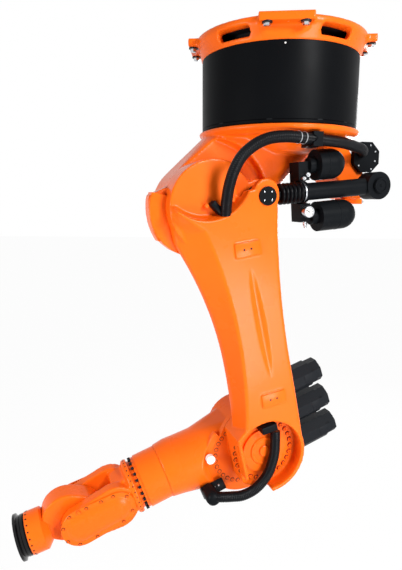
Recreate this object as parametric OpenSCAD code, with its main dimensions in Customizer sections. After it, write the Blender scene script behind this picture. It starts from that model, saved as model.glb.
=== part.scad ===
// Six-axis industrial robot arm, hung from a ceiling by the flange of its base.
// The origin is the centre of the flange's bolting face, +Z points up into the ceiling,
// and the four bolting pads face +X, -X, +Y and -Y. The arm itself reaches forward
// along -X of an arm frame that stands turned about the base axis.

/* [Pose of the arm as it stands] */
// Turn of the arm about the base axis, in degrees
arm_turn = 24; // [0:1:90]
// Lean of the link arm behind the vertical, in degrees
link_lean = 12.4; // [5:0.1:20]
// Slope of the forearm below the horizontal, in degrees
forearm_slope = 18.6; // [10:0.1:35]
// Upward bend of the hand out of the forearm's line, in degrees
hand_bend = 4.6; // [0:0.1:20]

/* [Reach] */
// Distance of the shoulder axis in front of the base axis
shoulder_x = 450; // [430:1:500]
// Depth of the shoulder axis below the bolting face
shoulder_z = 830; // [800:1:900]
// Length of the link arm from shoulder axis to elbow axis
link_l = 1300; // [1200:1:1400]
// Length of the forearm from elbow axis to wrist centre
forearm_l = 997; // [980:1:1200]
// Height of the forearm's roll axis above the elbow axis
roll_axis_h = -4; // [-40:1:40]
// Distance from wrist centre to the face of the tool flange
tool_reach = 309; // [300:1:330]

/* [Base] */
// Width of the rim beyond the black cover
rim_out = 34; // [28:1:45]
// Width of the bolting pads beyond the rim
pad_out = 30; // [24:1:40]
// Width of a bolting pad
pad_w = 245; // [220:1:280]
// Thickness of the bolting pads and the rim
pad_t = 36; // [28:1:45]
// Height of the flared base ring
base_h = 97; // [85:1:110]
// Distance of the bolts behind the pad's edge
bolt_in = 18; // [16:1:22]
// Spacing of the two bolts of a pad
bolt_pair = 166; // [140:1:180]
// Diameter of the bolt holes
bolt_hole_d = 26; // [20:1:30]
// Width of a window in the base ring
window_w = 172; // [120:1:190]
// Height of a window in the base ring
window_h = 44; // [30:1:50]

/* [Drum cover] */
// Diameter of the black cover round the base drum
cover_d = 800; // [780:1:820]
// Length of the black cover
cover_l = 351; // [300:1:400]
// Wall of the black cover
cover_wall = 5; // [3:0.5:8]

/* [Column] */
// Width of the turning disc beyond the black cover
disc_out = 17; // [10:1:25]
// Thickness of the turning disc
disc_t = 38; // [30:1:45]
// Radius of the shoulder housing
housing_r = 216; // [205:1:235]
// Half width of the shoulder housing
housing_half = 100; // [80:1:104]

/* [Link arm] */
// Distance of the arm's front face from the arm's middle plane
link_front = 330; // [310:1:350]
// Distance of the arm's back from the middle plane, between its ends
link_back = 185; // [180:1:200]
// Radius of the shoulder hub
hub_r = 222; // [215:1:235]
// Radius of the rounded elbow end
elbow_r = 206; // [200:1:215]
// Wall round the elbow pocket
pocket_wall = 20; // [14:1:24]
// Distance of the counterbalance pin from the shoulder axis
pin_out = 240; // [235:1:250]
// Radius of the lugs round that pin
lug_r = 64; // [58:1:68]

/* [Counterbalance] */
// Distance of the rear pivot behind the base axis
pivot_x = 433; // [420:1:440]
// Depth of the rear pivot below the bolting face
pivot_z = 725; // [715:1:735]
// Distance of the cylinder's axis from the arm's middle plane
cylinder_y = 250; // [248:1:252]
// Diameter of the cylinder's barrel
barrel_d = 86; // [80:1:92]
// Length of the barrel from the rear pivot
barrel_l = 405; // [390:1:415]
// Diameter of the rear eye
eye_d = 140; // [130:1:150]
// Diameter of the two pressure vessels
vessel_d = 150; // [140:1:154]
// Distance of the vessels' axes from the barrel's axis
vessel_out = 127; // [125:1:134]

/* [Forearm] */
// Radius of the elbow housing
elbow_housing_r = 214; // [205:1:222]
// Radius of the forearm's front tube
tube_r = 143; // [138:1:148]
// Length of the front tube
tube_l = 137; // [120:1:160]
// Distance from the front tube's end to the wrist centre
wrist_l = 345; // [340:1:360]
// Width across the flats of a wrist motor
motor_w = 143; // [130:1:165]
// Spacing of the three wrist motors
motor_pitch = 178; // [170:1:190]
// Length of a wrist motor
motor_l = 318; // [290:1:350]

/* [Wrist] */
// Radius of the fork's root ring
root_r = 144; // [140:1:150]
// Radius of the rounded ends of the fork arms
fork_r = 92; // [84:1:96]
// Half of the gap between the fork arms
fork_gap = 66; // [62:1:70]
// Distance of the fork's outer faces from the roll axis
fork_half = 126; // [120:1:132]
// Radius of the hand's tilting drum
hand_r = 124; // [118:1:128]
// Radius of the hand's roll housing
roll_r = 108; // [102:1:112]
// Radius of the tool flange
tool_r = 118; // [114:1:124]
// Pitch circle diameter of the tool bolts
tool_pcd = 190; // [184:1:196]
// Diameter of the centring bore of the tool flange
tool_bore_d = 150; // [140:1:158]

/* [Hoses] */
// Diameter of the ribbed cable hoses
hose_d = 54; // [44:1:56]

/* [Hidden] */
$fn = 96;

// Paint and material colours
orange = "#f26a12";
black = "#1b1c1e";
steel = "#c9ccd0";
white = "#f2f2f0";

// Running clearance between bodies that turn on each other
run = 0.3;

// Levels of the base
cover_top = -base_h;
rim_r = cover_d / 2 + rim_out;
pad_r = rim_r + pad_out;
bolt_out = pad_r - bolt_in;
disc_d = cover_d + 2 * disc_out;
cover_bottom = cover_top - cover_l;
disc_top = cover_bottom - 4;
disc_bottom = disc_top - disc_t;
drum_r = cover_d / 2 - 90;

// Levels across the arm, measured from its middle plane
hub_back = housing_half + 5;
hub_face = link_front - 65;
pocket_floor = link_front - 80;
elbow_back = 140;
elbow_half = elbow_back - 5;
slot_near = cylinder_y + 36;
slot_far = cylinder_y - 36;
lug_back = slot_far - 40;

// Counterbalance line from the rear pivot to the pin, as the arm stands
pin_x = -shoulder_x + pin_out * cos(link_lean);
pin_z = -shoulder_z + pin_out * sin(link_lean);
rod_x = pivot_x - pin_x;
rod_z = -pivot_z - pin_z;
rod_l = norm([rod_x, rod_z]);
rod_slope = atan2(rod_z, rod_x);
gland_l = 22;
block_l = 58;
block_front = 38;
block_near = 14;
block_far = 78;
bellows_r = 52;
lug_rise = 17;
bracket_y = 120;
neck_r = 168;
shoulder_motor_w = 210;
shoulder_motor_l = 360;
clamp_point = 6;
plate_out = 40;
ring_seat = 100;
tube_end = forearm_l - wrist_l;
tube_start = tube_end - tube_l;
neck_start = 250;
elbow_motor_w = 150;
motor_drop = -27;
breather_s = 268;
breather_h = 30;
breather_d = 46;
neck_l = 26;
flange_l = 54;
flange_ahead = 84;
cover_span = 200;
bracket_s = 326;
hand_ahead = 56;
hand_rise = 32;
breather_seat = 148;
rod_eye_r = lug_r - 8;
lip_w = 78;
lip_t = 75;
scoop_x = -28;
scoop_z = 172;
scoop_r = 222;
pad_rise = 7;
link_pad_w = 122;
link_pad_h = 64;
groove_r = 34;
groove_h = 0.246 * link_l;
hub_pad = 219;
elbow_pad = 304;

// Elbow axis in the arm frame
elbow_x = -shoulder_x + link_l * sin(link_lean);
elbow_z = -shoulder_z - link_l * cos(link_lean);

// Frames
module in_arm() {
  rotate([0, 0, arm_turn]) children();
}
module at_shoulder() {
  in_arm() translate([-shoulder_x, 0, -shoulder_z]) children();
}
module at_link() {
  at_shoulder() rotate([0, -link_lean, 0]) children();
}
module at_forearm() {
  in_arm() translate([elbow_x, 0, elbow_z]) rotate([0, -forearm_slope, 0]) children();
}
module at_roll() {
  at_forearm() translate([0, 0, roll_axis_h]) rotate([0, -90, 0]) children();
}
module at_hand() {
  at_forearm() translate([-forearm_l, 0, roll_axis_h]) rotate([0, hand_bend, 0]) children();
}
module at_tool() {
  at_hand() rotate([0, -90, 0]) children();
}
module at_pivot() {
  in_arm() translate([pivot_x, -cylinder_y, -pivot_z]) rotate([0, -rod_slope, 0]) children();
}

// A cylinder across the arm, from the near distance to the far one
module across(r, near, far) {
  translate([0, -near, 0]) rotate([-90, 0, 0]) cylinder(h = near + far, r = r);
}
// A rectangle with rounded corners
module rounded(w, h, r) {
  square([w - 2 * r, h], center = true);
  square([w, h - 2 * r], center = true);
  for (x = [-1, 1]) for (y = [-1, 1]) translate([x * (w / 2 - r), y * (h / 2 - r)]) circle(r);
}
// A skin over rings that have equally many points
module skin(rings) {
  n = len(rings[0]);
  m = len(rings);
  points = [for (ring = rings) each ring];
  sides = [
    for (i = [0 : m - 2]) for (j = [0 : n - 1]) each [
      [i * n + j, i * n + (j + 1) % n, (i + 1) * n + (j + 1) % n],
      [i * n + j, (i + 1) * n + (j + 1) % n, (i + 1) * n + j]
    ]
  ];
  first_cap = [for (j = [n - 1 : -1 : 0]) j];
  last_cap = [for (j = [0 : n - 1]) (m - 1) * n + j];
  polyhedron(points, concat(sides, [first_cap, last_cap]));
}

// A smooth route through points chosen by hand
function between(a, b, c, d, t) =
  (2 * b + (c - a) * t + (2 * a - 5 * b + 4 * c - d) * t * t + (3 * b - a - 3 * c + d) * t * t * t) / 2;
function route(p, steps) = [
  for (i = [0 : len(p) - 2]) for (j = [0 : steps - 1])
    between(p[max(i - 1, 0)], p[i], p[i + 1], p[min(i + 2, len(p) - 1)], j / steps),
  p[len(p) - 1]
];
function unit(v) = v / norm(v);
function hose_ring(c, along, d, sides) =
  let (u = unit(cross(along, [0, 1, 0])), v = unit(cross(along, u)))
  [for (k = [0 : sides - 1]) c + d / 2 * (cos(360 * k / sides) * u - sin(360 * k / sides) * v)];
module hose(points, d) {
  line = route(points, 4);
  last = len(line) - 1;
  skin([
    for (i = [0 : last])
      hose_ring(line[i], line[min(i + 1, last)] - line[max(i - 1, 0)], d, 10)
  ]);
}

// Base: a flared cast ring with four bolting pads, windows beside two of them, and a floor
module base_window(turn) {
  rotate([0, 0, turn]) translate([0, -rim_r, -base_h / 2 - 2]) rotate([90, 0, 0])
    translate([0, 0, -110]) linear_extrude(170) rounded(window_w, window_h, 14);
}
module base_ring() {
  wall = 32;
  floor_t = 20;
  color(orange) difference() {
    union() {
      rotate_extrude() polygon([
        [drum_r + run, -base_h], [cover_d / 2, -base_h], [rim_r - 4, -pad_t], [rim_r, -pad_t + 8],
        [rim_r, -4], [rim_r - 4, 0], [rim_r - 74, 0], [rim_r - 74, -22], [rim_r - wall - 6, -pad_t],
        [cover_d / 2 - wall, -base_h + floor_t], [drum_r + run, -base_h + floor_t]
      ]);
      for (turn = [0, 90, 180, 270]) rotate([0, 0, turn])
        translate([-pad_w / 2, -pad_r, -pad_t]) cube([pad_w, pad_r - rim_r + 60, pad_t]);
    }
    for (turn = [0, 90, 180, 270]) rotate([0, 0, turn]) {
      for (side = [-1, 1]) translate([side * bolt_pair / 2, -bolt_out, -base_h - 1]) {
        cylinder(h = base_h + 2, d = bolt_hole_d);
        cylinder(h = base_h - pad_t + 1, d = 48);
      }
      translate([-pad_w / 2 + 14, -pad_r - 1, -base_h + 6])
        cube([pad_w - 28, pad_r - cover_d / 2 - 6, base_h - pad_t - 6]);
    }
    for (turn = [-34, 34, 146, 214]) base_window(turn);
  }
}
module base_drum() {
  color(black) difference() {
    union() {
      translate([0, 0, disc_top + run]) cylinder(h = -12 - disc_top, r = drum_r);
      translate([0, 0, -24]) cylinder(h = 14, r = rim_r - 76);
    }
    translate([0, 0, -140]) cylinder(h = 200, r = drum_r - 40);
  }
}
module base_cover() {
  color(black) rotate_extrude() polygon([
    [cover_d / 2 - cover_wall, cover_top], [cover_d / 2, cover_top], [cover_d / 2, cover_bottom + 16],
    [cover_d / 2 - 2, cover_bottom + 14], [cover_d / 2, cover_bottom + 12], [cover_d / 2, cover_bottom],
    [cover_d / 2 - cover_wall, cover_bottom]
  ]);
}

// Column: the casting that turns under the base and carries the shoulder
module column_casting() {
  color(orange) in_arm() {
    rotate_extrude() polygon([
      [0, disc_top], [disc_d / 2 - 6, disc_top], [disc_d / 2, disc_top - 8], [disc_d / 2 - 4, disc_top - 22],
      [disc_d / 2 - 34, disc_bottom], [0, disc_bottom]
    ]);
    difference() {
      union() {
        translate([0, 0, disc_bottom - 70]) cylinder(h = 71, r1 = neck_r + 19, r2 = neck_r + 139);
        hull() {
          for (x = [-disc_d / 2 + neck_r + 20, 60])
            translate([x, 0, disc_bottom]) cylinder(h = disc_t / 2, r = neck_r, $fn = 48);
          translate([-shoulder_x, 0, -shoulder_z]) rotate([-90, 0, 0]) translate([0, 0, -housing_half])
            cylinder(h = 2 * housing_half, r = housing_r, $fn = 64);
        }
        hull() {
          translate([120, -bracket_y, disc_bottom]) cube([200, 2 * bracket_y, disc_t / 2]);
          translate([pivot_x, bracket_y, -pivot_z]) rotate([90, 0, 0])
            cylinder(h = 2 * bracket_y, r = eye_d / 2, $fn = 48);
        }
      }
      translate([-shoulder_x, 0, -shoulder_z]) {
        across(pin_out + lug_r + lug_rise + 12, 2 * link_front, -housing_half);
        across(shoulder_motor_w / 2 + 30, -housing_half, 2 * link_front);
      }
    }
  }
}
module shoulder_gear() {
  color(orange) at_shoulder() across(hub_r - 30, hub_back - run, -housing_half);
}
module drive_motor(w, l) {
  rotate([0, 0, 22.5]) cylinder(h = l * 0.8, d = w / cos(22.5), $fn = 8);
  translate([0, 0, l * 0.8]) rotate([0, 0, 22.5]) cylinder(h = l * 0.2, d = (w - 14) / cos(22.5), $fn = 8);
}
module shoulder_motor() {
  color(black) at_shoulder() translate([0, housing_half, 0]) rotate([-90, 0, 0])
    drive_motor(shoulder_motor_w, shoulder_motor_l);
}
module hose_bracket() {
  color(black) in_arm() translate([shoulder_route[0][0] + plate_out, -bracket_y, shoulder_route[0][2] - 22])
    rotate([90, 22.5, 0]) cylinder(h = -shoulder_route[0][1] - bracket_y - 2, r = 86, $fn = 8);
}
module hose_clamp() {
  at = shoulder_route[clamp_point];
  color(black) in_arm() difference() {
    translate([at[0] - 25, at[1] - 34, at[2] - 34]) cube([50, 110, disc_bottom - at[2] + 34]);
    translate(at) rotate([0, 0, 16]) rotate([0, 90, 0]) cylinder(h = 80, d = hose_d + 8, center = true);
  }
}
module rear_pivot_pin() {
  color(black) in_arm() translate([pivot_x, 0, -pivot_z]) across(34, cylinder_y + 62, -bracket_y);
}

// Counterbalance: a cylinder hinged behind the column, with two pressure vessels on its head
module along_barrel(start) {
  at_pivot() translate([-start, 0, 0]) rotate([0, -90, 0]) children();
}
module barrel() {
  color(black) difference() {
    along_barrel(0) cylinder(h = barrel_l, d = barrel_d);
    at_pivot() across(eye_d / 2, 60, 60);
  }
}
module gland_ring() {
  color(steel) along_barrel(barrel_l) difference() {
    cylinder(h = gland_l, d = barrel_d + 16);
    translate([0, 0, -1]) cylinder(h = gland_l + 2, d = barrel_d - 30);
  }
}
module rear_eye() {
  color(black) at_pivot() difference() {
    across(eye_d / 2, 50, 50);
    across(34 + run, 51, 51);
  }
}
module manifold() {
  color(black) at_pivot() difference() {
    translate([-barrel_l - block_front, -block_near, -vessel_out - 20])
      cube([block_l, block_near + block_far, 2 * vessel_out + 40]);
    translate([-barrel_l - block_front - 1, 0, 0]) rotate([0, 90, 0])
      cylinder(h = block_l + 2, r = bellows_r + 6);
  }
}
module vessel(side, l) {
  start = barrel_l + block_front - block_l - l;
  along_barrel(start) translate([side * vessel_out, 0, 0]) rotate_extrude() intersection() {
    union() {
      translate([0, vessel_d / 2]) square([vessel_d / 2, l - vessel_d * 0.75]);
      translate([0, vessel_d / 2]) circle(d = vessel_d);
      translate([0, l - vessel_d / 4]) square([vessel_d / 4, vessel_d / 4]);
      translate([0, l - vessel_d * 0.75]) circle(d = vessel_d);
    }
    square([vessel_d, l]);
  }
}
module vessel_upper() {
  color(black) vessel(1, 200);
}
module vessel_lower() {
  color(black) vessel(-1, 256);
}
module gauge() {
  color(white) at_pivot() translate([-barrel_l - 6, 0, -vessel_out + 30])
    across(26, block_near + 28, -block_near);
}
module rod_eye() {
  color(black) at_link() translate([pin_out, 0, 0]) difference() {
    across(rod_eye_r, slot_near - 4, -slot_far - 4);
    across(26 + run, slot_near, -slot_far);
  }
}
module bellows() {
  folds = 7;
  start = barrel_l + gland_l + run;
  pitch = (rod_l - lug_r - start - 6) / folds;
  color(black) along_barrel(start) rotate_extrude() polygon(concat(
    [[0, 0]],
    [for (i = [0 : folds - 1]) each [[bellows_r - 12, i * pitch], [bellows_r, (i + 0.5) * pitch]]],
    [[bellows_r - 12, folds * pitch], [0, folds * pitch]]
  ));
}

// Link arm: one casting with a scooped shoulder, a waisted web and a pocketed elbow end
function waist(z, top, mid, low, z_top, z_mid, z_low) =
  z > z_mid ? mid + (top - mid) * pow((z - z_mid) / (z_top - z_mid), 2)
            : mid + (low - mid) * pow((z - z_mid) / (z_low - z_mid), 2);
function link_ring(z) =
  let (
    ridge = z > -90 ? max(-94 - (z + 90) * 0.94, 26 - hub_r) : waist(z, -94, -33, -133, -90, -600, -link_l),
    left = z > -130 ? -hub_r : waist(z, -hub_r, -104, -150, -130, -760, -link_l),
    right = z > 0 ? pin_out + sqrt(lug_r * lug_r - z * z) - 2
                  : waist(z, pin_out + lug_r - 2, 213, elbow_r, 0, -0.66 * link_l, -link_l)
  )
  [
    [left + 14, -link_back, z], [left, -link_back - 22, z], [left + 6, -link_back - 50, z],
    for (i = [1 : 3]) [left + 6 + (ridge - left - 14) * i / 4,
      -link_back - 50 - (link_front - link_back - 56) * i / 4, z],
    [ridge - 8, -link_front + 6, z], [ridge + 4, -link_front, z], [right - 12, -link_front, z],
    [right, -link_front + 12, z], [right, -link_back, z]
  ];
module link_pad(x, z, tilt) {
  translate([x, -link_front - pad_rise / 2 + 2, z]) rotate([0, tilt, 0])
    cube([link_pad_w, pad_rise + 4, link_pad_h], center = true);
}
module link_arm() {
  levels = concat([for (i = [44 : -8 : -124]) i], [for (i = [-150 : -26 : -link_l]) i], [-link_l]);
  color(orange) at_link() difference() {
    union() {
      skin([for (z = levels) link_ring(z)]);
      across(hub_r, hub_face, -hub_back);
      for (rise = [0, lug_rise]) translate([pin_out, 0, rise]) across(lug_r, link_front, -lug_back);
      translate([0, 0, -link_l]) intersection() {
        across(elbow_r, link_front, -elbow_back);
        translate([-150, -500, -300]) cube([600, 500, 600]);
      }
      intersection() {
        difference() {
          across(hub_r + lip_w, hub_back + lip_t, -hub_back);
          across(hub_r + 9, hub_back + lip_t + 5, -hub_back - lip_t + 34);
        }
        rotate([0, -12, 0]) translate([-500, -500, -44]) cube([400, 500, 216]);
      }
      intersection() {
        across(hub_r + 42, hub_back + lip_t - 6, -hub_back);
        rotate([0, -12, 0]) translate([-500, -500, -190]) cube([400, 500, 200]);
      }
      link_pad(89, -hub_pad, 4);
      link_pad(78, elbow_pad - link_l, 4);
    }
    translate([scoop_x, -hub_face, scoop_z]) rotate([90, 0, 0])
      cylinder(h = link_front - hub_face + 1, r1 = scoop_r - 17, r2 = scoop_r + 2);
    translate([pin_out - 120, -slot_near, -lug_r - 10]) cube([300, slot_near - slot_far, 220]);
    translate([pin_out, 0, 0]) across(26, link_front + 1, -lug_back + 1);
    translate([0, 0, -link_l]) intersection() {
      across(elbow_r - pocket_wall, link_front + 1, -pocket_floor);
      translate([-132, -500, -300]) cube([600, 500, 600]);
    }
    translate([-180, -link_front - 1, -link_l - elbow_r - 20])
      cube([160, link_front - pocket_floor - 10, 140]);
    translate([90, -link_front - groove_r + 13, -0.46 * link_l]) rotate_extrude() polygon([
      [0, -groove_h], [groove_r * 0.6, -0.94 * groove_h], [groove_r * 0.82, -0.62 * groove_h],
      [groove_r * 0.95, -0.31 * groove_h], [groove_r, 0], [groove_r * 0.95, 0.31 * groove_h],
      [groove_r * 0.82, 0.62 * groove_h], [groove_r * 0.6, 0.94 * groove_h], [0, groove_h]
    ]);
  }
}
module elbow_plate() {
  color(orange) at_link() translate([0, 0, -link_l]) across(118, pocket_floor + 14, -pocket_floor);
}
module lug_pin() {
  color(black) at_link() translate([pin_out, 0, 0]) {
    across(26 - run, link_front, -lug_back);
    across(44, link_front + 8, -link_front);
  }
}
module hub_bracket() {
  color(black) at_link() translate([-38, -hub_face - 46, -26]) cube([38, 46, 46]);
}
module elbow_clamp() {
  color(black) at_link() translate([-10, -pocket_floor - 76, -link_l + 122]) cube([86, 76, 38]);
}

// Forearm: elbow housing, motor carrier and tube
module forearm_neck(grow) {
  steps = [
    [0, -34, 172], [0.19, -30, 169], [0.49, -18, 162], [0.755, -6, 156], [1, roll_axis_h, tube_r + 4]
  ];
  stations = [for (st = steps) [neck_start + st[0] * (tube_start - neck_start), st[1], st[2]]];
  skin([
    for (st = stations) [
      for (k = [0 : 47])
        let (a = 360 * k / 48)
        [-st[0], -(st[2] + grow) * sin(a), st[1] + (st[2] + grow) * cos(a)]
    ]
  ]);
}
module elbow_flange(grow, near, far) {
  hull() {
    translate([0, far, 0]) rotate([90, 0, 0])
      cylinder(h = near + far, r = elbow_housing_r - 12 + grow, $fn = 96);
    translate([-flange_ahead, far, -flange_ahead / 2]) rotate([90, 0, 0])
      cylinder(h = near + far, r = 0.82 * elbow_housing_r + grow, $fn = 96);
  }
}
module elbow_scallop() {
  hull() for (deep = [[0, 5], [100, 95]]) translate([0, -ring_seat - deep[0], 0]) rotate([90, 0, 0]) {
    cylinder(h = 1, r = elbow_housing_r - 12 + deep[1], $fn = 96);
    translate([-flange_ahead, -flange_ahead / 2, 0])
      cylinder(h = 1, r = 0.82 * elbow_housing_r + deep[1], $fn = 96);
  }
}
module forearm_casting() {
  carrier_h = 2 * motor_pitch + motor_w + 20;
  color(orange) at_forearm() {
    across(elbow_housing_r - 40, ring_seat, elbow_half);
    difference() {
      union() {
        hull() {
          translate([0, elbow_half - 35, 0]) rotate([90, 0, 0])
            cylinder(h = ring_seat + elbow_half - 35, r = elbow_housing_r - 60, $fn = 48);
          translate([-290, 0, -31]) rotate([0, -90, 0]) cylinder(h = 10, r = 168, $fn = 48);
        }
        forearm_neck(0);
      }
      elbow_scallop();
      across(elbow_motor_w / 2 + 20, -elbow_half, 400);
      translate([-breather_s, 0, breather_h]) across(breather_d / 2 + 3, 400, -breather_seat);
    }
    translate([100, -88, motor_drop - carrier_h / 2]) cube([120, 176, carrier_h]);
  }
}
module elbow_ring() {
  color(orange) at_forearm() {
    elbow_flange(0, elbow_half, -ring_seat);
    across(elbow_r - 50, elbow_back - run, -elbow_half);
  }
}
module elbow_motor() {
  color(black) at_forearm() translate([0, elbow_half, 0]) rotate([-90, 0, 0])
    drive_motor(elbow_motor_w, 110);
}
module wrist_motor(level) {
  at_forearm() translate([220, 0, level]) rotate([0, 90, 0]) drive_motor(motor_w, motor_l);
}
module wrist_motor_upper() {
  color(black) wrist_motor(motor_drop + motor_pitch);
}
module wrist_motor_middle() {
  color(black) wrist_motor(motor_drop);
}
module wrist_motor_lower() {
  color(black) wrist_motor(motor_drop - motor_pitch);
}
module forearm_bracket() {
  color(black) at_forearm() difference() {
    translate([-bracket_s - 46, -214, -192]) cube([92, 124, 108]);
    forearm_neck(0);
    translate([-bracket_s, -168, -120]) rotate([-45, 0, 0]) translate([0, 0, 60])
      cube([200, 400, 120], center = true);
  }
}
module breather_cap() {
  color(white) at_forearm() translate([-breather_s, 0, breather_h]) 
    across(breather_d / 2, breather_seat + 26, -breather_seat);
}
module front_tube() {
  color(orange) at_roll() {
    translate([0, 0, tube_start + run]) cylinder(h = tube_end - tube_start - 16, r = tube_r);
    translate([0, 0, tube_end - 16]) cylinder(h = 16, r = tube_r - 6);
  }
}

// Wrist: a fork that rolls in the tube and holds the hand between two covered arms
module wrist_fork() {
  root = tube_end + neck_l;
  palm = forearm_l - hand_r - 84;
  arm_w = fork_half - fork_gap;
  color(orange) {
    at_roll() {
      translate([0, 0, root]) cylinder(h = 24, r = root_r);
      translate([0, 0, root + 24]) cylinder(h = 14, r1 = root_r, r2 = fork_half - 4);
    }
    at_forearm() translate([0, 0, roll_axis_h]) {
      translate([-palm, -fork_gap - 10, -fork_r - 6])
        cube([palm - root - 20, 2 * fork_gap + 20, 2 * fork_r + 12]);
      for (side = [-1, 1]) translate([0, side * (fork_half + fork_gap) / 2, 0]) hull() {
        translate([-forearm_l, 0, 0]) across(fork_r, arm_w / 2, arm_w / 2, $fn = 48);
        translate([-root - fork_r - 34, 0, 0]) across(fork_r + 24, arm_w / 2, arm_w / 2, $fn = 48);
      }
    }
  }
}
module neck_ring() {
  color(orange) at_roll() translate([0, 0, tube_end + run]) cylinder(h = neck_l - run, r = tube_r - 16);
}
module fork_cover(side) {
  at_forearm() translate([0, side * fork_half, roll_axis_h]) hull() {
    for (end = [[0, fork_r - 2], [cover_span, fork_r - 14]]) {
      translate([-forearm_l + end[0], side * 4, 0]) across(end[1], 4, 4, $fn = 48);
      translate([-forearm_l + end[0], side * 10, 0]) across(end[1] - 26, 10, 10, $fn = 48);
    }
  }
}
module near_cover() {
  color(orange) fork_cover(-1);
}
module far_cover() {
  color(orange) fork_cover(1);
}
module hand_drum() {
  hull() for (at = [[0, 0], [-hand_ahead, hand_rise]])
    translate([at[0], fork_gap - 6, at[1]]) rotate([90, 0, 0])
      cylinder(h = 2 * fork_gap - 12, r = hand_r, $fn = 96);
}
module hand_housing() {
  color(orange) at_hand() {
    hand_drum();
    across(60, fork_gap - run, fork_gap - run);
  }
}
module roll_housing() {
  color(orange) difference() {
    at_tool() {
      translate([0, 0, 150]) cylinder(h = 30, r1 = roll_r - 34, r2 = roll_r);
      translate([0, 0, 180]) cylinder(h = tool_reach - flange_l - 180, r = roll_r);
    }
    at_hand() hand_drum();
  }
}
module tool_flange() {
  color(black) at_tool() difference() {
    rotate_extrude() polygon([
      [0, tool_reach - flange_l + run], [tool_r - 22, tool_reach - flange_l + run],
      [tool_r - 22, tool_reach - 48],
      [tool_r - 12, tool_reach - 46], [tool_r - 12, tool_reach - 32], [tool_r - 14, tool_reach - 28],
      [tool_r - 14, tool_reach - 18], [tool_r, tool_reach - 12], [tool_r, tool_reach], [0, tool_reach]
    ]);
    translate([0, 0, tool_reach - 10]) cylinder(h = 20, d = tool_bore_d);
    for (i = [0 : 10]) rotate([0, 0, i * 360 / 11]) translate([tool_pcd / 2, 0, tool_reach - 24])
      cylinder(h = 30, d = 13);
  }
}

// Hoses, in the arm frame
shoulder_route = [
  [420, -150, -549], [414, -176, -548], [368, -226, -540], [290, -268, -531], [190, -318, -523],
  [85, -362, -522], [-14, -394, -521], [-96, -414, -519], [-179, -427, -519], [-262, -430, -530],
  [-330, -424, -560], [-384, -408, -610], [-412, -388, -672], [-424, -364, -738], [-424, -340, -794],
  [-419, -320, -834], [-416, -312, -848]
];
elbow_route = [
  [-80, -297, 98], [-63, -304, 52], [-29, -308, -26], [30, -308, -104], [112, -304, -152],
  [190, -292, -162], [246, -262, -152], [278, -226, -143]
];
module shoulder_hose() {
  color(black) in_arm() hose(shoulder_route, hose_d);
}
module elbow_hose() {
  color(black) at_forearm() hose([for (p = elbow_route) [-p[0], p[1], p[2]]], hose_d);
}

base_ring();
base_drum();
base_cover();
column_casting();
shoulder_gear();
shoulder_motor();
hose_bracket();
hose_clamp();
rear_pivot_pin();
barrel();
gland_ring();
rear_eye();
manifold();
vessel_upper();
vessel_lower();
gauge();
rod_eye();
bellows();
link_arm();
elbow_plate();
lug_pin();
hub_bracket();
elbow_clamp();
forearm_casting();
elbow_ring();
elbow_motor();
wrist_motor_upper();
wrist_motor_middle();
wrist_motor_lower();
forearm_bracket();
breather_cap();
front_tube();
wrist_fork();
neck_ring();
near_cover();
far_cover();
hand_housing();
roll_housing();
tool_flange();
shoulder_hose();
elbow_hose();
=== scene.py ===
from math import acos, cos, sin, pi, radians
import bpy, bmesh
from mathutils import Matrix, Vector


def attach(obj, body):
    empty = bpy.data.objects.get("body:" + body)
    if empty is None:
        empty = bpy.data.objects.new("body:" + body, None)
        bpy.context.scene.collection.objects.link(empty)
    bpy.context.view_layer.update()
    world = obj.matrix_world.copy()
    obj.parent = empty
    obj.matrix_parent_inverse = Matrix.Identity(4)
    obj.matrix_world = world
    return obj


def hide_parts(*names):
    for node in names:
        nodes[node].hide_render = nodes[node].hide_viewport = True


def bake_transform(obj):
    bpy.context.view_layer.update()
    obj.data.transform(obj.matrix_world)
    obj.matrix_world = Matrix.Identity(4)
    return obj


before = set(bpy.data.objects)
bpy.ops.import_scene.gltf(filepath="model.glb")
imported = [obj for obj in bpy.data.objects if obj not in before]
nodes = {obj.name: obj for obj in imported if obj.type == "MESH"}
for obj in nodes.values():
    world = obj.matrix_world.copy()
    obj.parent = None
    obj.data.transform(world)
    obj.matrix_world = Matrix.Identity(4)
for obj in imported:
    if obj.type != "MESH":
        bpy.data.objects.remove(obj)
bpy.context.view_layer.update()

# Camera. It stands in front of the robot, at the height of its shoulder,
# and looks slightly down through an ordinary wide lens.
camera = bpy.data.objects.new("camera", bpy.data.cameras.new("camera"))
camera.location = (-0.166, -2.782, -0.791)
camera.rotation_euler = (radians(80.2), 0, radians(5))
camera.data.lens = 31.58
bpy.context.scene.collection.objects.link(camera)
bpy.context.scene.camera = camera
bpy.context.scene.view_settings.view_transform = "Standard"


# Studio. A pale floor below the hanging robot, a white surround, and large soft lamps
# on both sides of the camera and behind the robot, as a catalogue picture has them.
def linear(hex_colour):
    parts = [int(hex_colour[i:i + 2], 16) / 255 for i in (1, 3, 5)]
    return tuple(p / 12.92 if p < 0.04045 else ((p + 0.055) / 1.055) ** 2.4 for p in parts) + (1,)


# One shader node. Lower-case keys are its settings, the others its sockets.
def add(tree, kind, settings, links):
    node = tree.nodes.new(kind)
    for key, value in settings.items():
        if isinstance(key, str) and key.islower():
            setattr(node, key, value)
        else:
            node.inputs[key].default_value = value
    for key, source in links.items():
        tree.links.new(source, node.inputs[key])
    return node


def lamp(name, place, aim, size, power):
    data = bpy.data.lights.new(name, "AREA")
    data.shape, data.size, data.energy = "DISK", size, power
    obj = bpy.data.objects.new(name, data)
    obj.location = place
    obj.rotation_euler = (Vector(aim) - Vector(place)).to_track_quat("-Z", "Y").to_euler()
    bpy.context.scene.collection.objects.link(obj)


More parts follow.
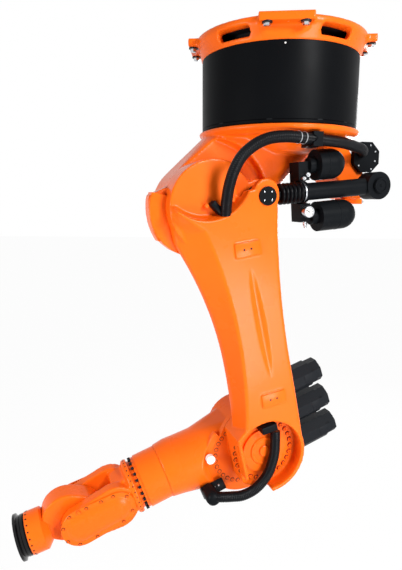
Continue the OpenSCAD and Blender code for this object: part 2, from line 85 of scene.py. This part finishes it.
# 1 for what is seen straight, in a mirror or through glass, and 0 for light that only falls.
def seen(tree):
    rays = add(tree, "ShaderNodeLightPath", {}, {})
    mirror = add(tree, "ShaderNodeMath", {"operation": "ADD"},
                 {0: rays.outputs["Is Glossy Ray"], 1: rays.outputs["Is Transmission Ray"]})
    total = add(tree, "ShaderNodeMath", {"operation": "ADD", "use_clamp": True},
                {0: rays.outputs["Is Camera Ray"], 1: mirror.outputs[0]})
    return total.outputs[0]


lamp("key_softbox", (2.5, -3.1, 1.0), (-0.1, 0, -1.3), 1.2, 190)
lamp("low_softbox", (2.0, -2.7, -2.2), (-0.1, 0, -1.5), 1.5, 88)
lamp("left_softbox", (-3.0, -2.5, -1.3), (-0.2, 0, -1.3), 1.6, 95)
lamp("rear_softbox", (1.2, 3.6, -0.4), (-0.1, 0, -1.3), 2.0, 110)

world = bpy.data.worlds.new("white_surround")
world.use_nodes = True
bpy.context.scene.world = world
tree = world.node_tree
level = add(tree, "ShaderNodeMapRange", {"To Min": 0.16, "To Max": 1.0}, {"Value": seen(tree)})
backdrop = tree.nodes["Background"]
backdrop.inputs["Color"].default_value = (1, 1, 1, 1)
tree.links.new(level.outputs[0], backdrop.inputs["Strength"])

floor_z, floor_half, floor_glow = -3.3, 30, 0.97
mesh = bmesh.new()
bmesh.ops.create_grid(mesh, x_segments=1, y_segments=1, size=floor_half,
                      matrix=Matrix.Translation((0, 0, floor_z)))
data = bpy.data.meshes.new("floor")
mesh.to_mesh(data)
mesh.free()
floor = bpy.data.objects.new("floor", data)
bpy.context.scene.collection.objects.link(floor)
# Matt pale floor: white to the eye, and dark enough below to keep the robot's shadow.
pale = bpy.data.materials.new("pale_floor")
pale.use_nodes = True
tree = pale.node_tree
matt = add(tree, "ShaderNodeBsdfDiffuse", {"Color": (0.9, 0.9, 0.9, 1)}, {})
glow = add(tree, "ShaderNodeEmission", {"Strength": 1.0}, {})
share = add(tree, "ShaderNodeMath", {"operation": "MULTIPLY", 1: floor_glow}, {0: seen(tree)})
both = add(tree, "ShaderNodeMixShader", {},
           {0: share.outputs[0], 1: matt.outputs[0], 2: glow.outputs[0]})
tree.links.new(both.outputs[0], tree.nodes["Material Output"].inputs["Surface"])
data.materials.append(pale)


# Base ring. One flared iron casting with four pads and windows, painted orange.
# Two hexagon bolts with washers, under the lip of each pad, carry the whole robot.
def finish(name, low, high, rough, grain, depth=0.05, metal=0.0, coat=0.0, shine=0.5):
    material = bpy.data.materials.new(name)
    material.use_nodes = True
    tree = material.node_tree
    where = add(tree, "ShaderNodeTexCoord", {}, {}).outputs["Object"]
    # Patches about 330 mm wide vary tint and gloss. The grain is in millimetres, and is drawn
    # some ten times coarser than the real one so that it shows.
    cloud = add(tree, "ShaderNodeTexNoise", {"Scale": 3.0, "Detail": 4.0, "Roughness": 0.6},
                {"Vector": where})
    fine = add(tree, "ShaderNodeTexNoise", {"Scale": 1000 / grain, "Detail": 3.0},
               {"Vector": where})
    tint = add(tree, "ShaderNodeMix", {"data_type": "RGBA", 6: linear(low), 7: linear(high)},
               {0: cloud.outputs[0]})
    gloss = add(tree, "ShaderNodeMapRange", {"From Min": 0.3, "From Max": 0.7,
                "To Min": rough - 0.05, "To Max": rough + 0.07}, {"Value": cloud.outputs[0]})
    bump = add(tree, "ShaderNodeBump", {"Strength": depth, "Distance": 0.002},
               {"Height": fine.outputs[0]})
    shader = tree.nodes["Principled BSDF"]
    shader.inputs["Metallic"].default_value = metal
    shader.inputs["Specular IOR Level"].default_value = shine
    shader.inputs["Coat Weight"].default_value = coat
    shader.inputs["Coat Roughness"].default_value = 0.12
    tree.links.new(tint.outputs[2], shader.inputs["Base Color"])
    tree.links.new(gloss.outputs[0], shader.inputs["Roughness"])
    tree.links.new(bump.outputs[0], shader.inputs["Normal"])
    return material


def paint(material, *names):
    for name in names:
        nodes[name].data.materials.clear()
        nodes[name].data.materials.append(material)


# Cast edges are round: the solid is taken through fine voxels and smoothed.
def soften(voxel, passes, name):
    weld = nodes[name].modifiers.new("weld", "WELD")
    weld.merge_threshold = 0.0002
    cells = nodes[name].modifiers.new("cells", "REMESH")
    cells.mode, cells.voxel_size, cells.use_smooth_shade = "VOXEL", voxel, True
    smooth = nodes[name].modifiers.new("smooth", "SMOOTH")
    smooth.factor, smooth.iterations = 0.5, passes


# A place in a part's own frame, with its Z axis turned the given way.
def spot(part, at, way):
    return part @ Matrix.Translation(at) @ way


# A turned piece: a profile of (radius, height) pairs goes once round the Z axis of its place.
def turned(mesh, profile, place, steps=24):
    old = set(mesh.verts)
    points = [mesh.verts.new((r, 0, h)) for r, h in profile]
    edges = [mesh.edges.new(pair) for pair in zip(points, points[1:])]
    bmesh.ops.spin(mesh, geom=points + edges, cent=(0, 0, 0), axis=(0, 0, 1), angle=2 * pi,
                   steps=steps, use_merge=True)
    bmesh.ops.remove_doubles(mesh, verts=[v for v in mesh.verts if v not in old], dist=1e-6)
    bmesh.ops.transform(mesh, matrix=place, verts=[v for v in mesh.verts if v not in old])


# A finished piece: bevelled where asked, smooth but for its sharp edges, riding its body.
def piece(name, mesh, material, body, bevel=0.0):
    if bevel:
        sharp = [e for e in mesh.edges if len(e.link_faces) == 2 and e.calc_face_angle(0) > 0.6]
        bmesh.ops.bevel(mesh, geom=sharp, offset=bevel, affect="EDGES", segments=2, profile=0.5,
                        material=-1)
    bmesh.ops.recalc_face_normals(mesh, faces=mesh.faces)
    for face in mesh.faces:
        face.smooth = True
    for edge in mesh.edges:
        if len(edge.link_faces) == 2 and edge.calc_face_angle(0) > 0.6:
            edge.smooth = False
    data = bpy.data.meshes.new(name)
    mesh.to_mesh(data)
    mesh.free()
    data.materials.append(material)
    obj = bpy.data.objects.new(name, data)
    bpy.context.scene.collection.objects.link(obj)
    if body:
        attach(obj, body)
    return obj


# Two-part paint, sprayed on iron castings: even, glossy, with a little orange peel.
orange = finish("orange_paint", "#ec5e0c", "#f16814", 0.28, 6.25, 0.03, coat=0.04, shine=0.12)
# Zinc-plated steel: pale grey, bright and a little cloudy.
zinc = finish("zinc_plated_steel", "#b9bcc0", "#d5d7da", 0.28, 3.333, metal=1.0)
# Black-oxide steel of socket screws and washers: nearly black, with a dull shine. It also serves
# as painted shade in the screw recesses.
oxide_and_painted_shade = finish("black_oxide_steel_and_painted_shade", "#121314", "#1c1d1f", 0.45, 3.333, shine=0.12)
paint(orange, "base_ring")
soften(0.006, 5, "base_ring")
bolt_out, bolt_side, lip_z = 0.4405, 0.083, -0.036
down = Matrix.Rotation(pi, 4, "X")
heads, washers = bmesh.new(), bmesh.new()
for quarter in range(4):
    pad = Matrix.Rotation(quarter * pi / 2, 4, "Z")
    for side in (-bolt_side, bolt_side):
        under = spot(pad, (side, -bolt_out, lip_z), down)
        turned(washers, [(0.0, 0.005), (0.023, 0.005), (0.023, -0.001)], under)
        turned(heads, [(0.0, 0.02), (0.012, 0.02), (0.0165, 0.017), (0.0165, 0.004)], under, 6)
piece("base_bolt_heads", heads, zinc, "base")
piece("base_bolt_washers", washers, oxide_and_painted_shade, "base")

# Base drum. The cast housing of the first axis inside the ring, in dark primer,
# seen only through the windows. It is bolted into the ring from above.
# Dark primer: a dull grey-black with the sandy skin of the casting.
primer = finish("dark_primer", "#121315", "#191b1e", 0.6, 8.333, 0.1, shine=0.1)
paint(primer, "base_drum")


# Drum cover. A rolled sheet in satin black, closed round the drum, with a thin lip
# near its lower edge and small dark clips in it. One pale screw holds it at the top.
def block(mesh, place, size):
    bmesh.ops.create_cube(mesh, size=1, matrix=place @ Matrix.Diagonal((*size, 1)))


# Powder-coated sheet steel: deep black with a broad, weak shine.
sheet = finish("satin_black_sheet", "#07080a", "#0b0c0e", 0.4, 4.167, 0.02, shine=0.03)
paint(sheet, "base_cover")
clip_out, clip_z, clip_size = 0.3995, -0.434, (0.026, 0.002, 0.004)
clips = bmesh.new()
for turn in (-46, -9, 25, 49, 110, 160, 215, 265):
    around = Matrix.Rotation(radians(turn), 4, "Z")
    block(clips, around @ Matrix.Translation((0, -clip_out, clip_z)), clip_size)
piece("cover_clips", clips, primer, "base")
near = Matrix.Rotation(pi / 2, 4, "X")
dot = bmesh.new()
turned(dot, [(0.0, 0.003), (0.003, 0.0025), (0.0048, 0.0)],
       Matrix.Translation((0, -0.399, -0.112)) @ near)
# Moulded white plastic: a little warm, with a soft shine.
ivory = finish("white_plastic", "#e6e6e2", "#f3f3ef", 0.42, 5.0, 0.02)
piece("cover_screw", dot, ivory, "base")

# Column. One large orange casting that turns under the base: disc, neck to the shoulder,
# and the rear bracket of the counterbalance. The hose plate is screwed to its side.
arm = Matrix.Rotation(radians(24), 4, "Z")
# Satin black paint on steel: dark, with a weak shine.
black = finish("satin_black_paint", "#0c0e10", "#131518", 0.36, 7.143, shine=0.04)
paint(orange, "column_casting", "shoulder_gear")
soften(0.007, 5, "column_casting")
paint(black, "hose_bracket", "hose_clamp", "rear_pivot_pin")


# A socket-head screw: a round head with a round pocket in it.
def socket_screw(mesh, place, r, h):
    rim = [(0.5 * r, 0.45 * h), (0.5 * r, h), (0.9 * r, h), (r, 0.9 * h), (r, -0.1 * h)]
    turned(mesh, rim, place, 12)
    turned(mesh, [(0.0, 0.45 * h), (0.5 * r, 0.45 * h)], place, 12)


plate_x, plate_y, plate_z = 0.46, -0.148, -0.571
screws = bmesh.new()
for x, z in ((-0.05, -0.045), (-0.05, 0.045), (0.03, -0.062), (0.052, -0.02), (0.052, 0.03),
             (0.02, 0.062)):
    socket_screw(screws, spot(arm, (plate_x + x, plate_y, plate_z + z), near), 0.0045, 0.004)
piece("hose_plate_screws", screws, zinc, "column")
bar_x, bar_y, bar_z, bar_l = 0.44, -0.03, -0.806, 0.15
bar = bmesh.new()
block(bar, arm @ Matrix.Translation((bar_x, bar_y, bar_z)), (bar_l, 0.05, 0.03))
piece("transport_bar", bar, orange, "column", 0.003)
rearward = Matrix.Rotation(pi / 2, 4, "Y")
cap = bmesh.new()
turned(cap, [(0.0, 0.022), (0.008, 0.022), (0.01, 0.019), (0.01, 0.0)],
       spot(arm, (bar_x + bar_l / 2, bar_y, bar_z), rearward))
piece("transport_bar_cap", cap, zinc, "column")

# Shoulder motor. A servo motor in charcoal powder coat on the far side of the column,
# flanged to the shoulder's gear.
# Charcoal powder coat: dark grey, finely pebbled, almost without shine.
charcoal = finish("charcoal_powder_coat", "#17191c", "#1f2226", 0.46, 3.846, 0.12, shine=0.06)
paint(charcoal, "shoulder_motor")


# Shoulder hose. A ribbed black conduit with the motor cables, from the column's plate
# round the disc and down into the shoulder's bowl. Two bright bands and a clamp hold it.
def spline(points, steps):
    line, last = [], len(points) - 1
    for i in range(last):
        a, b, c, d = (points[min(max(k, 0), last)] for k in (i - 1, i, i + 1, i + 2))
        for j in range(steps):
            t = j / steps
            line.append(0.5 * (2 * b + (c - a) * t + (2 * a - 5 * b + 4 * c - d) * t * t
                               + (3 * b - a - 3 * c + d) * t ** 3))
    return line + [points[last]]


# The same line in even steps, so that each rib is as wide as the next.
def evenly(line, step):
    out, left = [line[0]], step
    for a, b in zip(line, line[1:]):
        run, at = (b - a).length, left
        while at <= run:
            out.append(a.lerp(b, at / run))
            at += step
        left = at - run
    return out


# A tube along the line, four steps to a rib, with a dip between ribs.
def ribbed(mesh, line, r, dip, sides=20):
    side = Vector((0, 0, 1))
    turns = [2 * pi * k / sides for k in range(sides)]
    rings = []
    for i, point in enumerate(line):
        along = (line[min(i + 1, len(line) - 1)] - line[max(i - 1, 0)]).normalized()
        side = (side - along * side.dot(along)).normalized()
        other = along.cross(side)
        wide = r - dip * (0.0, 0.25, 1.0, 0.25)[i % 4]
        rings.append([mesh.verts.new(point + wide * (cos(a) * side + sin(a) * other))
                      for a in turns])
    for a, b in zip(rings, rings[1:]):
        for k in range(sides):
            mesh.faces.new((a[k - 1], a[k], b[k], b[k - 1]))
    mesh.faces.new(rings[0][::-1])
    mesh.faces.new(rings[-1])


# Ribbed polyamide and rubber, matt with a soft sheen.
rubber = finish("black_rubber", "#07080a", "#0c0d11", 0.3, 4.545, 0.06, shine=0.1)
hose_r, rib_dip, rib_step = 0.0268, 0.0016, 0.00225
route = [arm @ (Vector(p) / 1000) for p in (
    (420, -150, -549), (414, -176, -548), (368, -226, -540), (290, -268, -531), (190, -318, -523),
    (85, -362, -522), (-14, -394, -521), (-96, -414, -519), (-179, -427, -519), (-262, -430, -530),
    (-330, -424, -560), (-384, -408, -610), (-412, -388, -672), (-424, -364, -738),
    (-424, -340, -794), (-419, -318, -836), (-416, -308, -864))]
line = evenly(spline(route, 40), rib_step)
tube = bmesh.new()
ribbed(tube, line, hose_r, rib_dip)
conduit = piece("shoulder_conduit", tube, rubber, None)
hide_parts("shoulder_hose")
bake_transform(conduit)
bands = bmesh.new()
for share in (0.488, 0.514):
    i = int(share * len(line))
    aim = (line[i + 1] - line[i]).to_track_quat("Z", "Y").to_matrix().to_4x4()
    turned(bands, [(0.0262, -0.002), (0.0284, -0.002), (0.0284, 0.002), (0.0262, 0.002)],
           Matrix.Translation(line[i]) @ aim, 32)
piece("conduit_bands", bands, zinc, "column")

# Link arm. One orange casting: hub with a scooped bowl, forked lug for the counterbalance,
# waisted beam with raised pads and a long shallow groove, and a round elbow end.
link = arm @ Matrix.Translation((-0.45, 0, -0.83)) @ Matrix.Rotation(radians(-12.4), 4, "Y")
paint(orange, "link_arm", "elbow_plate")
soften(0.0056, 4, "link_arm")
paint(black, "elbow_clamp", "lug_pin")
soften(0.003, 6, "elbow_clamp")
knobs = bmesh.new()
for x in (-0.05, 0.082):
    turned(knobs, [(0.0, 0.03), (0.007, 0.029), (0.011, 0.024), (0.011, -0.002)],
           spot(link, (x, -0.265, 0.016), near))
piece("bowl_knobs", knobs, orange, "link_arm")
pads, pad_y, pad_size = ((0.089, -0.219), (0.078, -0.996)), -0.3335, (0.126, 0.012, 0.068)
plugs, plates = bmesh.new(), bmesh.new()
for x, z in pads:
    block(plates, spot(link, (x, pad_y, z), Matrix.Rotation(radians(4), 4, "Y")), pad_size)
    for side in (-0.018, 0.018):
        turned(plugs, [(0.0, 0.0004), (0.0045, 0.0004), (0.0055, 0.0)],
               spot(link, (x + side, -0.3396, z - side * 0.07), near))
piece("pad_plugs", plugs, oxide_and_painted_shade, "link_arm")
piece("link_pads", plates, orange, "link_arm", 0.003)
# Machined steel: bright bare metal with fine tool marks.
machined = finish("machined_steel", "#a8abb0", "#cfd2d6", 0.25, 2.5, 0.06, metal=1.0)
lug_x, pin_r = 0.24, 0.027
pins = bmesh.new()
for k in range(4):
    a = 0.6 + k * pi / 2
    socket_screw(pins, spot(link, (lug_x + pin_r * cos(a), -0.338, pin_r * sin(a)), near),
                 0.0034, 0.002)
piece("pin_cap_screws", pins, machined, "link_arm")
wedge = bmesh.new()
block(wedge, spot(link, (-0.003, -0.289, -0.006), Matrix.Rotation(radians(57), 4, "Y")),
      (0.08, 0.046, 0.03))
wedge = piece("bowl_wedge", wedge, black, "link_arm", 0.005)
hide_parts("hub_bracket")


# A lofted skin: each outline is a closed loop of points, bridged to the next one.
def lofted(mesh, outlines):
    loops = []
    for outline in outlines:
        points = [mesh.verts.new(point) for point in outline]
        loops.append([mesh.edges.new(pair) for pair in zip(points, points[1:] + points[:1])])
    for low, high in zip(loops, loops[1:]):
        bmesh.ops.bridge_loops(mesh, edges=low + high)
    return loops


# The hub's raised lip: a crescent whose radius falls off below the bowl.
lip_in, lip_far, lip_near = 0.215, -0.117, -0.196
outlines = []
for turn, r in ((154, 0.294), (164, 0.299), (174, 0.302), (184, 0.301), (194, 0.297), (204, 0.29),
                (214, 0.281), (224, 0.27), (234, 0.256), (244, 0.238), (250, 0.226)):
    out = Vector((cos(radians(turn)), 0, sin(radians(turn))))
    outlines.append([link @ (out * k + Vector((0, y, 0))) for k, y in (
        (lip_in, lip_far), (r - 0.004, lip_far), (r, lip_far - 0.004), (r, lip_near + 0.01),
        (r - 0.004, lip_near + 0.005), (r - 0.03, lip_near), (lip_in, lip_near))])
lip = bmesh.new()
loops = lofted(lip, outlines)
bmesh.ops.edgeloop_fill(lip, edges=loops[0] + loops[-1])
piece("hub_lip", lip, orange, "link_arm")

# Counterbalance. A gas-hydraulic strut: black barrel with a rear eye, a bright gland,
# rubber bellows, a manifold block, and two pressure vessels with valve fittings and a gauge.
pivot = arm @ Matrix.Translation((0.433, -0.25, -0.725)) @ Matrix.Rotation(radians(-4.715), 4, "Y")
# The rod eye is bright steel. It is painted satin black here as painted shade, for the shadow it
# lies in inside the lug's fork.
paint(black, "barrel", "rear_eye", "manifold", "vessel_upper", "vessel_lower", "rod_eye",
      "gland_ring")
band = bmesh.new()
turned(band, [(0.044, -0.0035), (0.0516, -0.0035), (0.0516, 0.0035), (0.044, 0.0035)],
       spot(pivot, (-0.4235, 0, 0), rearward), 48)
piece("gland_band", band, machined, "counterbalance")
forward = Matrix.Rotation(-pi / 2, 4, "Y")
stroke = spot(pivot, (-0.4273, 0, 0), forward)
fold, fold_count, fold_in = 0.0214, 6, 0.04
folds = [(0.0, fold_count * fold), (fold_in, fold_count * fold)]
for k in reversed(range(fold_count)):
    folds += [(r, fold * k + h) for r, h in (
        (0.0485, 0.0174), (0.052, 0.0129), (0.052, 0.0085), (0.0485, 0.004), (fold_in, 0.0))]
gaiter = bmesh.new()
turned(gaiter, folds + [(0.0, 0.0)], stroke, 48)
gaiter = piece("rod_gaiter", gaiter, rubber, "counterbalance")
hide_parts("bellows")
collar = bmesh.new()
turned(collar, [(0.0, 0.172), (0.033, 0.172), (0.033, 0.11), (0.0, 0.11)], stroke, 48)
piece("rod_collar", collar, rubber, "rod_eye", 0.001)
boss = bmesh.new()
turned(boss, [(0.0, 0.008), (0.004, 0.008), (0.007, 0.002), (0.028, 0.002), (0.03, 0.006),
              (0.036, 0.006), (0.038, 0.0)], spot(pivot, (0, -0.062, 0), near), 40)
piece("rear_eye_cap", boss, black, "counterbalance")
vessel_z = 0.127
seams = bmesh.new()
for z, x in ((vessel_z, -0.30), (-vessel_z, -0.245)):
    turned(seams, [(0.0742, -0.003), (0.0762, -0.001), (0.0762, 0.001), (0.0742, 0.003)],
           spot(pivot, (x, 0, z), rearward), 48)
piece("vessel_weld_seams", seams, black, "counterbalance")
fittings = bmesh.new()
for x, z, r in ((-0.405, 0.082, 0.011), (-0.428, 0.066, 0.009)):
    turned(fittings, [(0.0, 0.034), (0.6 * r, 0.034), (0.6 * r, 0.024), (r, 0.024), (r, 0.012),
                      (0.7 * r, 0.012), (0.7 * r, 0.0)], spot(pivot, (x, -0.014, z), near), 6)
turned(fittings, [(0.0, 0.03), (0.007, 0.03), (0.007, 0.018), (0.011, 0.018), (0.011, 0.0)],
       spot(pivot, (-0.412, 0.0, -0.147), down), 12)
turned(fittings, [(0.0, 0.014), (0.006, 0.014), (0.009, 0.006), (0.009, -0.004)],
       spot(pivot, (-0.131, 0, -vessel_z), rearward), 12)
piece("valve_fittings", fittings, zinc, "counterbalance")
dial = spot(pivot, (-0.411, -0.042, -0.097), near)
paint(ivory, "gauge")
rim = bmesh.new()
turned(rim, [(0.0225, 0.001), (0.0235, 0.005), (0.0275, 0.005), (0.0285, 0.0), (0.0285, -0.024),
             (0.0262, -0.026)], dial, 40)
piece("gauge_rim", rim, zinc, "counterbalance")
marks = bmesh.new()
for k in range(9):
    stand = dial @ Matrix.Rotation(radians(-120 + 30 * k), 4, "Z")
    block(marks, stand @ Matrix.Translation((0, 0.018, 0.0004)), (0.0022, 0.006, 0.0006))
needle = dial @ Matrix.Rotation(radians(50), 4, "Z")
block(marks, needle @ Matrix.Translation((0, 0.006, 0.001)), (0.0028, 0.022, 0.0006))
turned(marks, [(0.0, 0.002), (0.003, 0.002), (0.003, 0.0)], dial, 12)
piece("gauge_marks", marks, oxide_and_painted_shade, "counterbalance")

# Elbow. The gear flange in the link arm's pocket, held by a ring of socket screws,
# with a stepped centre cap. Its other half is the forearm's flange with screws of its own.
elbow = link @ Matrix.Translation((0, 0, -1.3))
screw_count, ring_r = 28, 0.158
ring, recess_shades = bmesh.new(), bmesh.new()
for k in range(screw_count):
    a = 2 * pi * k / screw_count
    seat = spot(elbow, (ring_r * cos(a), -0.25, ring_r * sin(a)), near)
    socket_screw(ring, seat, 0.0095, 0.01)
    # Under each head a flat dark disc is painted shade, standing for the shadow in the screw's
    # counterbore.
    turned(recess_shades, [(0.0, 0.0006), (0.0125, 0.0006), (0.0132, -0.001)], seat)
piece("elbow_ring_screws", ring, orange, "link_arm")
piece("elbow_ring_recess_shades", recess_shades, oxide_and_painted_shade, "link_arm")
steps = bmesh.new()
turned(steps, [(0.0, 0.012), (0.026, 0.012), (0.03, 0.009), (0.032, 0.003), (0.062, 0.003),
               (0.066, 0.006), (0.074, 0.006), (0.078, 0.0)],
       spot(elbow, (0, -0.264, 0), near), 48)
piece("elbow_centre_cap", steps, orange, "link_arm")

# Forearm. An orange casting with the elbow flange, the carrier of three motors, a hose
# bracket, a white breather cap, and a bolted front tube that the wrist rolls in.
slope = Matrix.Rotation(radians(-18.6), 4, "Y")
forearm = spot(arm, (-0.17084, 0, -2.09967), slope)
paint(orange, "forearm_casting", "elbow_ring", "front_tube")
soften(0.006, 5, "forearm_casting")
paint(ivory, "breather_cap")
flange_x, flange_r = -0.084, 0.16
rim_screws, rim_recess_shades = bmesh.new(), bmesh.new()
for k in range(13):
    a = radians(110 + 12 * k)
    seat = spot(forearm, (flange_x + flange_r * cos(a), -0.135, -0.042 + flange_r * sin(a)), near)
    socket_screw(rim_screws, seat, 0.0088, 0.003)
    # Under each head a flat dark disc is painted shade, for the shadow in the counterbore.
    turned(rim_recess_shades, [(0.0, 0.0006), (0.0118, 0.0006), (0.0125, -0.001)], seat)
piece("forearm_flange_screws", rim_screws, orange, "forearm")
piece("forearm_flange_recess_shades", rim_recess_shades, oxide_and_painted_shade, "forearm")
# The flange's outer rim: its section goes part of the way round, on the side of the tube.
rim_start, rim_step, rim_steps = radians(120), radians(5), 33
middle = spot(forearm, (flange_x, -0.132, -0.048), near)
section = ((0.16, -0.012), (0.16, 0.0), (0.213, 0.0), (0.218, -0.005), (0.218, -0.03),
           (0.16, -0.03))
outlines = []
for k in range(rim_steps + 1):
    around = middle @ Matrix.Rotation(rim_start + rim_step * k, 4, "Z")
    outlines.append([around @ Vector((r, 0, h)) for r, h in section])
rim = bmesh.new()
loops = lofted(rim, outlines)
bmesh.ops.edgeloop_fill(rim, edges=loops[0] + loops[-1])
piece("forearm_flange_rim", rim, orange, "forearm")
roll = spot(forearm, (0, 0, -0.004), forward)
ends = bmesh.new()
for k in range(24):
    around = roll @ Matrix.Rotation(2 * pi * (k + 0.5) / 24, 4, "Z")
    socket_screw(ends, around @ Matrix.Translation((0.1355, 0, 0.652)), 0.0075, 0.014)
piece("tube_end_screws", ends, oxide_and_painted_shade, "forearm")

# Forearm hose. The same ribbed conduit, shorter, from the clamp in the elbow's pocket
# round below the elbow into a screwed fitting under the forearm.
bend = [forearm @ (Vector((-s, y, n)) / 1000) for s, y, n in (
    (-80, -297, 98), (-63, -304, 52), (-29, -308, -26), (30, -308, -104), (112, -304, -152),
    (190, -296, -160), (246, -280, -148), (296, -256, -138), (322, -236, -134))]
line = evenly(spline(bend, 40), rib_step)
tube = bmesh.new()
ribbed(tube, line, hose_r, rib_dip)
conduit = piece("elbow_conduit", tube, rubber, None)
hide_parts("elbow_hose")
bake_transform(conduit)
fitting = bmesh.new()
turned(fitting, [(0.0, 0.05), (0.026, 0.047), (0.036, 0.036), (0.039, 0.02), (0.039, -0.06),
                 (0.0, -0.06)], spot(forearm, (-0.334, -0.215, -0.135), near), 28)
block(fitting, spot(forearm, (-0.306, -0.148, -0.148), Matrix.Rotation(radians(-38), 4, "X")),
      (0.128, 0.07, 0.06))
fitting = piece("conduit_fitting", fitting, black, "forearm", 0.004)
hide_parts("forearm_bracket")
studs = bmesh.new()
for x in (-0.3, -0.276):
    socket_screw(studs, spot(forearm, (x, -0.178, -0.122), near), 0.005, 0.006)
piece("conduit_fitting_screws", studs, zinc, "forearm")

# Motors of the elbow and the wrist. Octagonal servo motors in charcoal powder coat,
# flanged to the casting, each with a screwed end cap and a flat panel on its side.
paint(charcoal, "elbow_motor", "wrist_motor_upper", "wrist_motor_middle", "wrist_motor_lower")
caps, panels = bmesh.new(), bmesh.new()
for level in (0.151, -0.027, -0.205):
    for k in range(4):
        a = pi / 4 + k * pi / 2
        seat = spot(forearm, (0.538, 0.05 * cos(a), level + 0.05 * sin(a)), rearward)
        socket_screw(caps, seat, 0.006, 0.005)
    block(panels, forearm @ Matrix.Translation((0.46, -0.0715, level)), (0.08, 0.003, 0.06))
piece("motor_cap_screws", caps, oxide_and_painted_shade, "forearm")
piece("motor_panels", panels, charcoal, "forearm", 0.0012)

# Wrist. An orange fork that rolls in the tube, with a screwed root ring and two domed
# covers over the drive wheels in its arms.
paint(orange, "wrist_fork", "neck_ring")
soften(0.005, 5, "wrist_fork")
root = bmesh.new()
for k in range(30):
    around = roll @ Matrix.Rotation(2 * pi * k / 30, 4, "Z")
    socket_screw(root, spot(around, (0.1435, 0, 0.69), rearward), 0.0035, 0.0015)
piece("fork_root_screws", root, oxide_and_painted_shade, "wrist")


# The outline of a cover: two rounds of different size and the straight lines that join them.
def oblong(r, end, span, count=24):
    turn = acos((r - end) / span)
    left = [turn + (2 * pi - 2 * turn) * k / count for k in range(count + 1)]
    right = [-turn + 2 * turn * k / count for k in range(count + 1)]
    return ([(r * cos(a), r * sin(a)) for a in left]
            + [(span + end * cos(a), end * sin(a)) for a in right])


wrist_x, cover_y, seat_h = -0.997, 0.126, 0.0094
screws, recess_shades, plugs = bmesh.new(), bmesh.new(), bmesh.new()
for name, flip in (("near_cover", -1), ("far_cover", 1)):
    outward = near if flip < 0 else near.inverted()
    face = spot(forearm, (wrist_x, flip * cover_y, -0.004), outward)
    outlines = []
    for inset, out in ((0.0, 0.0), (0.0, 0.007), (0.002, 0.009), (0.026, 0.0095), (0.03, 0.0115),
                       (0.04, 0.017), (0.055, 0.021), (0.07, 0.0232), (0.086, 0.024)):
        outlines.append([face @ Vector((0.004 + x, flip * -y, out))
                         for x, y in oblong(0.101 - inset, 0.091 - inset, 0.196)])
    lid = bmesh.new()
    loops = lofted(lid, outlines)
    bmesh.ops.edgeloop_fill(lid, edges=loops[-1])
    shell = piece(name + "_lid", lid, orange, "wrist")
    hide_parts(name)
    for along, side in ((-0.078, 0.04), (-0.082, -0.036), (-0.036, -0.082), (-0.03, 0.084),
                        (0.06, 0.087), (0.136, 0.083), (0.2, 0.079), (0.262, 0.045),
                        (0.262, -0.045), (0.2, -0.079), (0.055, -0.087)):
        seat = face @ Matrix.Translation((along, flip * -side, seat_h))
        # A flat dark disc under each screw, and under the plug, is painted shade for the shadow in
        # its recess.
        turned(recess_shades, [(0.0, 0.001), (0.0085, 0.001), (0.009, 0.0)], seat)
        socket_screw(screws, seat, 0.006, 0.004)
    seat = face @ Matrix.Translation((0.018, flip * -0.086, seat_h))
    turned(recess_shades, [(0.0, 0.001), (0.0115, 0.001), (0.012, 0.0)], seat)
    turned(plugs, [(0.0, 0.003), (0.0045, 0.003), (0.0055, 0.0045), (0.0095, 0.0045),
                   (0.0105, 0.003), (0.0105, 0.0)], seat)
piece("fork_cover_recess_shades", recess_shades, oxide_and_painted_shade, "wrist")
piece("fork_cover_plugs", plugs, orange, "wrist")
piece("fork_cover_screws", screws, orange, "wrist")

# Hand. A round orange housing that tilts between the fork's arms and carries the roll
# housing of the tool. Small screws close the housing's front ring.
tilt = Matrix.Rotation(radians(4.6), 4, "Y")
tool = spot(forearm, (wrist_x, 0, -0.004), tilt) @ forward
paint(orange, "hand_housing", "roll_housing")
soften(0.004, 30, "hand_housing")
small = bmesh.new()
for k in range(20):
    around = tool @ Matrix.Rotation(2 * pi * k / 20, 4, "Z")
    socket_screw(small, spot(around, (0.1075, 0, 0.245), rearward), 0.0042, 0.002)
piece("roll_housing_screws", small, oxide_and_painted_shade, "hand")

# Tool flange. Turned steel in glossy black, with a groove for the tool's clamp,
# a centring bore and eleven threaded holes.
# Black-lacquered steel: almost mirror-smooth, with sharp highlights.
gloss = finish("gloss_black_steel", "#060607", "#0c0c0e", 0.12, 5.0, 0.02, coat=0.1, shine=0.2)
paint(gloss, "tool_flange")
